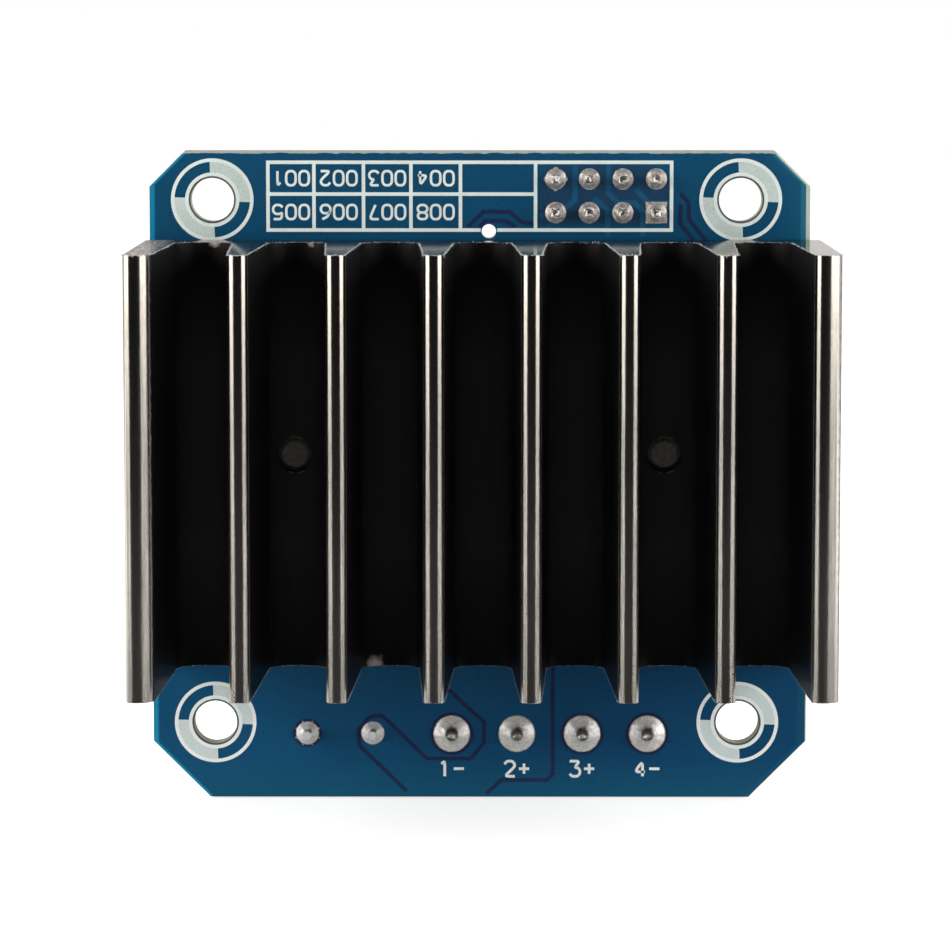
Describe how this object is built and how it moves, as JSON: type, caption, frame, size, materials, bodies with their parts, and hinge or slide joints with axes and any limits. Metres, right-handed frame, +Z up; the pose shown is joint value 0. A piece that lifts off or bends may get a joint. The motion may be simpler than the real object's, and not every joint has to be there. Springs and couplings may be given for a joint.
{
  "type": "dc motor driver module",
  "caption": "Motor driver circuit board with a finned black heatsink on one face, and power chips, a pin header, a capacitor and a screw terminal on the other.",
  "frame": {"origin": "centre of the four mounting holes, on the board's heatsink-side face", "axes": "+Y out of the board's component side, so the heatsink faces -Y; +Z up to the edge with the pin header; +X to the right as seen from the heatsink side"},
  "size_m": [0.051, 0.0435, 0.0495],
  "materials": {
    "board": "blue solder mask, slightly glossy",
    "black_aluminium": "black anodised, bare at the sawn ends and worn fin tips",
    "silicone_pad": "matt",
    "steel": "zinc plated",
    "mould_compound": "matt",
    "tinned_copper": "matt tin plating",
    "black_plastic": "satin",
    "gilt_brass": "thin gilding",
    "solder": "bright solder",
    "green_plastic": "moulded, satin",
    "bright_aluminium": "bright drawn",
    "black_sleeve": "shrunk film",
    "rubber": "matt",
    "resistor_body": "glazed black face",
    "ceramic_body": "fired ceramic",
    "tinned_ends": "matt tin plating"
  },
  "bodies": {
    "board": {"circuit_board": "board", "heatsink": "black_aluminium", "thermal_pad": "silicone_pad", "heatsink_screws": "steel", "flat_washers": "steel", "spring_washers": "steel", "left_bridge_body": "mould_compound", "left_bridge_tab": "tinned_copper", "left_bridge_leads": "tinned_copper", "right_bridge_body": "mould_compound", "right_bridge_tab": "tinned_copper", "right_bridge_leads": "tinned_copper", "buffer_body": "mould_compound", "buffer_leads": "tinned_copper", "header_base": "black_plastic", "header_pins": "gilt_brass", "header_solder": "solder", "terminal_housing": "green_plastic", "terminal_pins": "tinned_copper", "terminal_solder": "solder", "capacitor_can": "bright_aluminium", "capacitor_sleeve": "black_sleeve", "capacitor_bung": "rubber", "capacitor_leads": "tinned_copper", "capacitor_solder": "solder", "resistor_bodies": "resistor_body", "resistor_ends": "tinned_ends", "ceramic_bodies": "ceramic_body", "ceramic_ends": "tinned_ends"},
    "clamp_screw_1": {"terminal_screw_1": "steel"},
    "clamp_cage_1": {"terminal_cage_1": "steel"},
    "clamp_screw_2": {"terminal_screw_2": "steel"},
    "clamp_cage_2": {"terminal_cage_2": "steel"},
    "clamp_screw_3": {"terminal_screw_3": "steel"},
    "clamp_cage_3": {"terminal_cage_3": "steel"},
    "clamp_screw_4": {"terminal_screw_4": "steel"},
    "clamp_cage_4": {"terminal_cage_4": "steel"}
  },
  "joints": [
    {"name": "screw_turn_1", "type": "hinge", "parent": "board", "child": "clamp_screw_1", "pos_m": [-0.0019, 0.013, -0.0209], "axis": [0, -1, 0], "range_deg": [0, 2000]},
    {"name": "cage_rise_1", "type": "slide", "parent": "board", "child": "clamp_cage_1", "axis": [0, 1, 0], "range_m": [0, 0.0025]},
    {"name": "screw_turn_2", "type": "hinge", "parent": "board", "child": "clamp_screw_2", "pos_m": [0.0031, 0.013, -0.0209], "axis": [0, -1, 0], "range_deg": [0, 2000]},
    {"name": "cage_rise_2", "type": "slide", "parent": "board", "child": "clamp_cage_2", "axis": [0, 1, 0], "range_m": [0, 0.0025]},
    {"name": "screw_turn_3", "type": "hinge", "parent": "board", "child": "clamp_screw_3", "pos_m": [0.0081, 0.013, -0.0209], "axis": [0, -1, 0], "range_deg": [0, 2000]},
    {"name": "cage_rise_3", "type": "slide", "parent": "board", "child": "clamp_cage_3", "axis": [0, 1, 0], "range_m": [0, 0.0025]},
    {"name": "screw_turn_4", "type": "hinge", "parent": "board", "child": "clamp_screw_4", "pos_m": [0.0131, 0.013, -0.0209], "axis": [0, -1, 0], "range_deg": [0, 2000]},
    {"name": "cage_rise_4", "type": "slide", "parent": "board", "child": "clamp_cage_4", "axis": [0, 1, 0], "range_m": [0, 0.0025]}
  ],
  "couplings": [
    {"joint": "screw_turn_1", "follows": "cage_rise_1", "rad_per_m": 13963},
    {"joint": "screw_turn_2", "follows": "cage_rise_2", "rad_per_m": 13963},
    {"joint": "screw_turn_3", "follows": "cage_rise_3", "rad_per_m": 13963},
    {"joint": "screw_turn_4", "follows": "cage_rise_4", "rad_per_m": 13963}
  ]
}
